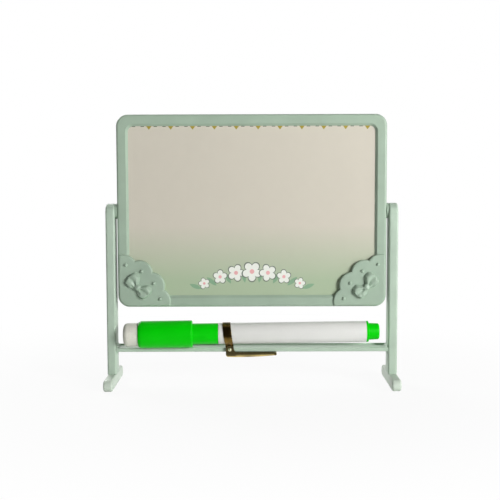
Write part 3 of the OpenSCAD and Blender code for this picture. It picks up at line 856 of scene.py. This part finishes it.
def barrel_piece(axis, settings):
    """White barrel: a tube with slightly rounded ends."""
    outer, inner = axis.radius, axis.radius - settings.wall
    seam = (outer + inner) / 2
    return turned_piece("white_barrel", axis, [
        (0, seam, 0), (0, outer, 0.2 * MM), (axis.length, outer, 0.2 * MM),
        (axis.length, inner, 0.1 * MM), (0, inner, 0.1 * MM), (0, seam, 0),
    ])


def plug_piece(axis, settings):
    """Green end plug: spigot, thin flange and a slightly tapered, rounded stub."""
    inner, stub = axis.radius - settings.wall, settings.plug_radius
    start, rim = axis.length - settings.plug_inside, axis.length + settings.plug_rim
    end = axis.reach("barrel_plug", far=True)
    dish = end - 0.25 * MM
    return turned_piece("green_plug", axis, [
        (start, 0, 0), (start, inner, 0.3 * MM), (axis.length, inner, 0),
        (axis.length, axis.radius, 0.1 * MM), (rim, axis.radius, 0.35 * MM),
        (rim, stub + 0.05 * MM, 0.2 * MM), (end, stub - 0.2 * MM, 0.9 * MM),
        (end, 1.6 * MM, 0.2 * MM), (dish, 1.4 * MM, 0.2 * MM), (dish, 0, 0),
    ])


def cap_piece(axis, settings):
    """Green cap: narrow sleeve, shoulder, wide eraser holder and its socket."""
    end, lip = axis.reach("marker_cap", far=False), axis.reach("marker_cap", far=True)
    outer = node_radius("marker_cap")
    socket, floor = outer - settings.socket_wall, end + settings.socket_depth
    shoulder = -settings.cap_narrow
    well = axis.reach("marker_nib", far=False) - 2 * MM
    nose, nose_radius = well + 5.5 * MM, 3.0 * MM
    return turned_piece("green_cap", axis, [
        (well, 0, 0), (well, nose_radius, 0.5 * MM), (nose, nose_radius, 0),
        (nose + 2.4 * MM, settings.cap_bore, 0), (lip, settings.cap_bore, 0.2 * MM),
        (lip, settings.cap_radius, 0.3 * MM), (shoulder, settings.cap_radius, 0.35 * MM),
        (shoulder, outer, 0.55 * MM), (end + settings.cap_chamfer, outer, 0.5 * MM),
        (end, socket + settings.socket_rim, 0.15 * MM), (end, socket, 0.1 * MM),
        (floor, socket, 0.2 * MM), (floor, 0, 0),
    ])


def eraser_piece(axis):
    """Felt eraser with a worn round end.

    The turned surface is drawn in by wear * (1 + the mean of three sine waves through space).
    """
    radius = node_radius("eraser")
    end, inside = axis.reach("eraser", far=False), axis.reach("eraser", far=True)
    profile = rounded_profile([
        (inside, 0, 0), (inside, radius, 0.3 * MM), (end, radius, 2.3 * MM), (end, 0, 0)
    ], steps=14)
    fine, spacing = [profile[:1]], 0.45 * MM
    for first, last in zip(profile[:-1], profile[1:]):
        count = max(1, int(np.linalg.norm(last - first) / spacing))
        fine.append(np.linspace(first, last, count + 1)[1:])
    points = axis.spun(np.vstack(fine), steps=120)
    waves = np.array([[2100, 900, 700], [-800, 1900, 1300], [1500, -1400, 2300]])
    lumps = np.sin(points @ waves.T + [0.3, 1.7, 4.1]).mean(-1, keepdims=True)
    wear = 0.012 * MM
    from_start = points - axis.start
    away = from_start - (from_start @ axis.along)[..., None] * axis.along
    size = np.linalg.norm(away, axis=-1, keepdims=True)
    points -= away / np.maximum(size, 1e-9) * np.minimum(wear * (1 + lumps), size)
    return grid_piece("felt_eraser", [points], crease=80)


def band_path(mid_radius, ear, fillet, low):
    """Line of the band in the plane across the barrel: up one ear, round the barrel, down the other."""
    drop = math.sqrt((mid_radius + fillet) ** 2 - (ear + fillet) ** 2)
    lean = math.degrees(math.atan2(drop, ear + fillet))
    straight = points_of(-ear, np.linspace(low, -drop, 14))
    bend = arc((-ear - fillet, -drop), fillet, 0, lean, 8)
    round_part = arc((0, 0), mid_radius, 180 + lean, -lean, 90)
    half = np.vstack([straight, bend[1:]])
    return np.vstack([half, round_part[1:-1], half[::-1] * [-1, 1]])


def band_piece(axis, settings):
    """Gold band: a strip carried round the barrel and down into two flat ears with round ends."""
    slant = settings.band_slant
    sheet, width = settings.band_sheet, settings.band_width
    gap, fillet = 0.05 * MM, 0.6 * MM
    inner = axis.radius + gap
    rivet = np.array(JOINTS["clip_open"]["pos_m"]) - axis.start
    rivet_up = rivet @ axis.up
    end = rivet_up - width / 2 * math.cos(slant)
    path = band_path(inner + sheet / 2, gap + sheet / 2, fillet, end)
    tangent = np.gradient(path, axis=0)
    tangent /= np.linalg.norm(tangent, axis=1, keepdims=True)
    normal = points_of(-tangent[:, 1], tangent[:, 0])
    below = np.clip((rivet_up - path[:, 1]) / (rivet_up - end), 0, 1)
    share = np.where(path[:, 1] < rivet_up, np.sqrt(1 - below ** 2), 1.0)
    edge = 0.12 * MM
    section = np.vstack([
        arc((width / 2 - edge, sheet / 2 - edge), edge, 90, 0, 4),
        arc((width / 2 - edge, edge - sheet / 2), edge, 0, -90, 4),
        arc((edge - width / 2, edge - sheet / 2), edge, 270, 180, 4),
        arc((edge - width / 2, sheet / 2 - edge), edge, 180, 90, 4),
    ])
    wide = section[None, :, 0] * share[:, None]
    side = path[:, None, 0] + section[None, :, 1] * normal[:, None, 0]
    up = path[:, None, 1] + section[None, :, 1] * normal[:, None, 1]
    distance = settings.band_at + wide / math.cos(slant) - up * math.tan(slant)
    return grid_piece("gold_band", [axis.place(distance, side, up)], capped=1)


def blade_piece(settings):
    """Gold blade: a sheet-metal channel with an arched web, a riveted cheek and a rolled tip.

    Seen from the front, the web's height follows a circle through the belly and, under the
    rivet, the quarter circle of the heel. The front side bulges by crown * (1 - (1.5s - 1)^2),
    with s the share of the way from its lower to its upper edge.
    """
    rivet = np.array(JOINTS["clip_open"]["pos_m"], float)
    low, high = (np.array(corner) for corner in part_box("clip_blade"))
    sheet, top = settings.blade_sheet, -settings.blade_top
    roll = settings.tip / 2
    cheek = high[2] - rivet[2]
    end = high[0] - rivet[0] - roll
    rise = settings.belly - settings.tip
    run = high[0] - rivet[0] - settings.belly_at
    belly_radius = (run ** 2 + rise ** 2) / (2 * rise)
    near = -cheek * np.cos(np.linspace(0, np.pi, 40)) * 0.999
    x = np.concatenate([near, np.linspace(cheek, end, 72)[1:]])
    web = top - settings.belly + belly_radius - np.sqrt(belly_radius ** 2 - (x - settings.belly_at) ** 2)
    in_heel = np.clip((settings.heel - cheek - x) / settings.heel, 0, 1)
    web += settings.heel * (1 - np.sqrt(1 - in_heel ** 2))
    round_top = np.sqrt(np.maximum(cheek ** 2 - x ** 2, 0))
    # The front side's edge runs down from the round cheek. The rear side's rises past the rivet.
    at_cheek = smooth_step((cheek + 1.1 * MM - x) / (1.2 * MM))
    front_top = top + (np.where(x < cheek, round_top, 0) - top) * at_cheek
    rear_top = web + sheet + (top - web - sheet) * smooth_step((x - 0.6 * MM) / (0.7 * MM))
    depth = high[1] - low[1]
    bend, fold = 0.7 * MM, 0.25 * MM
    # Heights over the web of points up the sides. The highest are cut off at the sides' edges.
    front = np.concatenate([np.linspace(0.9, 2.7, 8), [4, 9]]) * MM
    rear = front[-2:]
    outer = np.vstack([
        points_of(0, front)[::-1], arc((bend, bend), bend, 180, 270, 7),
        arc((depth - bend, bend), bend, 270, 360, 7), points_of(depth, rear),
    ])
    inner = np.vstack([
        points_of(depth - sheet, rear)[::-1],
        arc((depth - sheet - fold, sheet + fold), fold, 0, -90, 5),
        arc((sheet + fold, sheet + fold), fold, 270, 180, 5), points_of(sheet, front),
    ])
    section = np.vstack([outer, inner])
    limit = np.where(section[None, :, 0] < depth / 2, front_top[:, None], rear_top[:, None])
    up = np.minimum(web[:, None] + section[None, :, 1], limit)
    share = (up - web[:, None]) / (limit - web[:, None])
    bulge = settings.crown * smooth_step((x - cheek) / (2 * MM))[:, None] * (section[:, 0] < depth / 2)
    channel = points_of(
        rivet[0] + x[:, None], low[1] + section[:, 0] + bulge * (1.5 * share - 1) ** 2, rivet[2] + up
    )
    profile = rounded_profile([(0, 0, 0), (0, roll, 0.15 * MM), (depth, roll, 0.15 * MM), (depth, 0, 0)])
    distance, radius = profile.T[:, :, None]
    turn = full_turn(40)
    rolled_tip = points_of(
        rivet[0] + end + radius * np.cos(turn), low[1] + distance,
        rivet[2] + top - roll + radius * np.sin(turn),
    )
    return grid_piece("gold_blade", [channel, rolled_tip], crease=35, capped=1)


# ---- operators, one for each piece or group of like pieces ----


class EASEL_OT_stand(bpy.types.Operator):
    """Finish the posts, the feet and the pen tray in moulded mint plastic"""

    bl_idname = "easel.stand"
    bl_label = "Posts, feet and tray"

    def execute(self, context):
        colours = context.scene.easel_colours
        # Posts and tray get the lighter mint: painted light on the board's plastic.
        plastic = moulded_plastic("mint stand plastic", colours.stand_mint_painted_light, 0.42)
        paint_nodes(plastic, "left_post", "right_post", "pen_tray")
        # The feet get the lighter mint: painted light on the same plastic.
        paint_nodes(moulded_plastic("mint foot plastic", colours.foot_mint_painted_light, 0.42), "left_foot", "right_foot")
        return {"FINISHED"}


class EASEL_OT_board(bpy.types.Operator):
    """Finish the frame halves, the sheets, the core board, the pivots and the screws"""

    bl_idname = "easel.board"
    bl_label = "Board and pivots"

    def execute(self, context):
        colours = context.scene.easel_colours
        plastic = moulded_plastic("mint frame plastic", colours.mint, 0.4)
        paint_nodes(plastic, "front_frame", "rear_frame", "left_pivot_washer", "right_pivot_washer")
        paint_nodes(printed_face("printed sheet", context.scene.easel_print, colours), "writing_sheet")
        paint_nodes(moulded_plastic("rear film", colours.white, 0.3, drift=0.02), "rear_sheet")
        paint_nodes(fibre_board("fibre board", colours.fibre), "core_board")
        steel = plated_metal("plated steel", colours.steel, 0.3)
        paint_nodes(steel, "frame_screws", "left_pivot_pin", "right_pivot_pin")
        return {"FINISHED"}


class EASEL_OT_ornaments(bpy.types.Operator):
    """Make the scalloped corners with their bows and beads"""

    bl_idname = "easel.ornaments"
    bl_label = "Corner ornaments"

    def execute(self, context):
        settings = context.scene.easel_ornament
        plastic = moulded_plastic("mint ornament plastic", context.scene.easel_colours.mint, 0.38)
        for word, side in (("left", -1), ("right", 1)):
            piece = ornament_piece(word + "_scalloped_bow", settings, side)
            finish_piece(piece, plastic, "board", word + "_corner_ornament")
        return {"FINISHED"}


class EASEL_OT_marker(bpy.types.Operator):
    """Make the marker's barrel and plug and finish its nib and reservoir"""

    bl_idname = "easel.marker"
    bl_label = "Marker"

    def execute(self, context):
        colours, settings = context.scene.easel_colours, context.scene.easel_marker
        axis = Axis()
        white = moulded_plastic("white barrel plastic", colours.white, 0.3, drift=0.02)
        green = moulded_plastic("green plug plastic", colours.green, 0.36, drift=0.04, shine=0.15)
        finish_piece(barrel_piece(axis, settings), white, "marker", "marker_barrel")
        finish_piece(plug_piece(axis, settings), green, "marker", "barrel_plug")
        paint_nodes(green, "nib_holder")
        paint_nodes(pressed_felt("inked nib", colours.green), "marker_nib")
        paint_nodes(pressed_felt("reservoir fibre", colours.felt), "ink_reservoir")
        return {"FINISHED"}


class EASEL_OT_cap(bpy.types.Operator):
    """Make the marker's cap and eraser and finish its magnet"""

    bl_idname = "easel.cap"
    bl_label = "Cap and eraser"

    def execute(self, context):
        colours, settings = context.scene.easel_colours, context.scene.easel_marker
        axis = Axis()
        green = moulded_plastic("green cap plastic", colours.green, 0.36, drift=0.04, shine=0.15)
        finish_piece(cap_piece(axis, settings), green, "cap", "marker_cap")
        felt = pressed_felt("eraser felt", colours.felt)
        finish_piece(eraser_piece(axis), felt, "cap", "eraser")
        paint_nodes(plated_metal("magnet steel", colours.steel, 0.35), "cap_magnet")
        return {"FINISHED"}


class EASEL_OT_clip(bpy.types.Operator):
    """Make the clip's band and blade and finish its rivet"""

    bl_idname = "easel.clip"
    bl_label = "Clip"

    def execute(self, context):
        colours, settings = context.scene.easel_colours, context.scene.easel_marker
        # On the blade, the long dark patches are painted reflection streaks besides tarnish.
        gold = plated_metal(
            "gold plating", colours.gold, 0.22, streaks=(0.3, 1, 1), tarnish_and_painted_streaks=0.3, patches=300
        )
        # The band's plating is painted dark: painted shade for the dark reflections on it.
        painted_dark_gold = plated_metal(
            "dark gold plating", colours.band, 0.16, streaks=(1, 0.2, 0.2), tarnish_and_painted_streaks=0.4
        )
        finish_piece(band_piece(Axis(), settings), painted_dark_gold, "marker", "clip_band")
        finish_piece(blade_piece(settings), gold, "clip_blade", "clip_blade")
        paint_nodes(plated_metal("rivet plating", colours.rivet, 0.3), "clip_rivet")
        return {"FINISHED"}


# The lamps by name, with each one's place and the side of its square.
LAMPS = {
    "key": ((0.6, -0.6, 0.24), 0.28),
    "fill": ((-0.4, -0.5, 0.06), 0.35),
    "back": ((-0.4, 0.6, 0.5), 0.5),
}
FLOOR_REACH = 3.0
WHITE = (1, 1, 1, 1)


def ray_kinds(tree):
    """1 for rays from the camera, and 1 for rays that gloss mirrors or glass lets through."""
    path = add_node(tree, "LightPath").outputs
    through = Signal(path["Is Transmission Ray"])
    return Signal(path["Is Camera Ray"]), Signal(path["Is Glossy Ray"]).math("MAXIMUM", through)


def room_light(way, low, high, front):
    """Light of the mirrored room: dim in front of the easel, white beside and behind it."""
    return remap(way, low, high, front, 1.0, smooth=True)


def studio_world(sky, front):
    """A world that lights evenly, is white behind the easel, and mirrors a dim room in front of it."""
    world = bpy.data.worlds.new("studio")
    tree = empty_tree(world)
    seen, mirrored = ray_kinds(tree)
    depth = split_axes(signal(tree, "TexCoord", "Generated"))[1]
    strength = remap(mirrored, 0, 1, sky, room_light(depth, -0.35, 0.35, front)).math("MAXIMUM", seen)
    light = signal(tree, "Background", "Background", {"Color": WHITE, "Strength": strength})
    add_node(tree, "OutputWorld", {"Surface": light})
    bpy.context.scene.world = world


def floor_material(front):
    """A pale floor that keeps the easel's shadow, turns white far from it, and mirrors dimly in front."""
    material = bpy.data.materials.new("studio floor")
    tree = empty_tree(material)
    seen, mirrored = ray_kinds(tree)
    place = object_place(tree)
    away = signal(tree, "VectorMath", "Value", {0: place}, operation="LENGTH")
    share = mirrored.math("MAXIMUM", seen) * remap(away, 0.06, 0.25, 0.92, 1.0, smooth=True)
    strength = room_light(split_axes(place)[1], -0.07, -0.015, front).math("MAXIMUM", seen)
    matte = signal(tree, "BsdfDiffuse", "BSDF", {"Color": shade_of((0.9, 0.9, 0.9))})
    white = signal(tree, "Emission", "Emission", {"Color": WHITE, "Strength": strength})
    mixed = signal(tree, "MixShader", "Shader", {0: share, 1: matte, 2: white})
    add_node(tree, "OutputMaterial", {"Surface": mixed})
    return material


def add_lamp(name, place, target, size, power):
    """A soft square lamp that shines from a place towards a target."""
    lamp = bpy.data.lights.new(name, "AREA")
    lamp.size = size
    lamp.energy = power
    thing = bpy.data.objects.new(name, lamp)
    bpy.context.scene.collection.objects.link(thing)
    facing = (Vector(target) - Vector(place)).to_track_quat("-Z", "Y")
    thing.matrix_world = Matrix.Translation(place) @ facing.to_matrix().to_4x4()


class EASEL_OT_stage(bpy.types.Operator):
    """Set up the floor, the lamps and the camera"""

    bl_idname = "easel.stage"
    bl_label = "Stage"

    def execute(self, context):
        scene, stage = context.scene, context.scene.easel_stage
        edges = np.array([-FLOOR_REACH, FLOOR_REACH])
        floor = grid_piece("studio_floor", [points_of(edges, edges[:, None], 0)], wrap=False)
        floor.data.materials.append(floor_material(stage.front))
        studio_world(stage.sky, stage.front)
        middle = (0, 0, (BOARD_BOTTOM + BOARD_TOP) / 2)
        for name, (place, size) in LAMPS.items():
            add_lamp(name + "_lamp", place, middle, size, getattr(stage, name + "_power"))
        lens = bpy.data.cameras.new("photo_camera")
        lens.sensor_width = 36
        lens.lens = stage.camera_lens
        lens.clip_start, lens.clip_end = 0.01, 20
        camera = bpy.data.objects.new("photo_camera", lens)
        scene.collection.objects.link(camera)
        place = Matrix.Translation((0, -stage.camera_distance, stage.camera_height))
        yaw = Matrix.Rotation(stage.camera_yaw, 4, "Z")
        pitch = Matrix.Rotation(math.pi / 2 - stage.camera_pitch, 4, "X")
        roll = Matrix.Rotation(-stage.camera_roll, 4, "Z")
        camera.matrix_world = place @ yaw @ pitch @ roll
        scene.camera = camera
        scene.view_settings.view_transform = "Standard"
        return {"FINISHED"}


OPERATORS = (
    EASEL_OT_stand, EASEL_OT_board, EASEL_OT_ornaments, EASEL_OT_marker, EASEL_OT_cap,
    EASEL_OT_clip, EASEL_OT_stage,
)
SETTINGS = {
    "easel_colours": EaselColours,
    "easel_ornament": EaselOrnament,
    "easel_print": EaselPrint,
    "easel_marker": EaselMarker,
    "easel_stage": EaselStage,
}


class EASEL_PT_panel(bpy.types.Panel):
    """Sizes, colours and makers of the easel"""

    bl_idname = "EASEL_PT_panel"
    bl_label = "Desk whiteboard easel"
    bl_space_type = "VIEW_3D"
    bl_region_type = "UI"
    bl_category = "Easel"

    def draw(self, context):
        for operator in OPERATORS:
            self.layout.operator(operator.bl_idname)
        for name, group in SETTINGS.items():
            box = self.layout.box()
            box.label(text=group.__doc__)
            for setting in group.__annotations__:
                box.prop(getattr(context.scene, name), setting)


def register():
    for group in SETTINGS.values():
        bpy.utils.register_class(group)
    for name, group in SETTINGS.items():
        setattr(bpy.types.Scene, name, PointerProperty(type=group))
    for operator in OPERATORS:
        bpy.utils.register_class(operator)
    bpy.utils.register_class(EASEL_PT_panel)


def unregister():
    bpy.utils.unregister_class(EASEL_PT_panel)
    for operator in reversed(OPERATORS):
        bpy.utils.unregister_class(operator)
    for name, group in SETTINGS.items():
        delattr(bpy.types.Scene, name)
        bpy.utils.unregister_class(group)


def main():
    """Makes everything in order."""
    register()
    for operator in OPERATORS:
        getattr(bpy.ops.easel, operator.bl_idname.split(".")[1])()


if __name__ == "__main__":
    main()
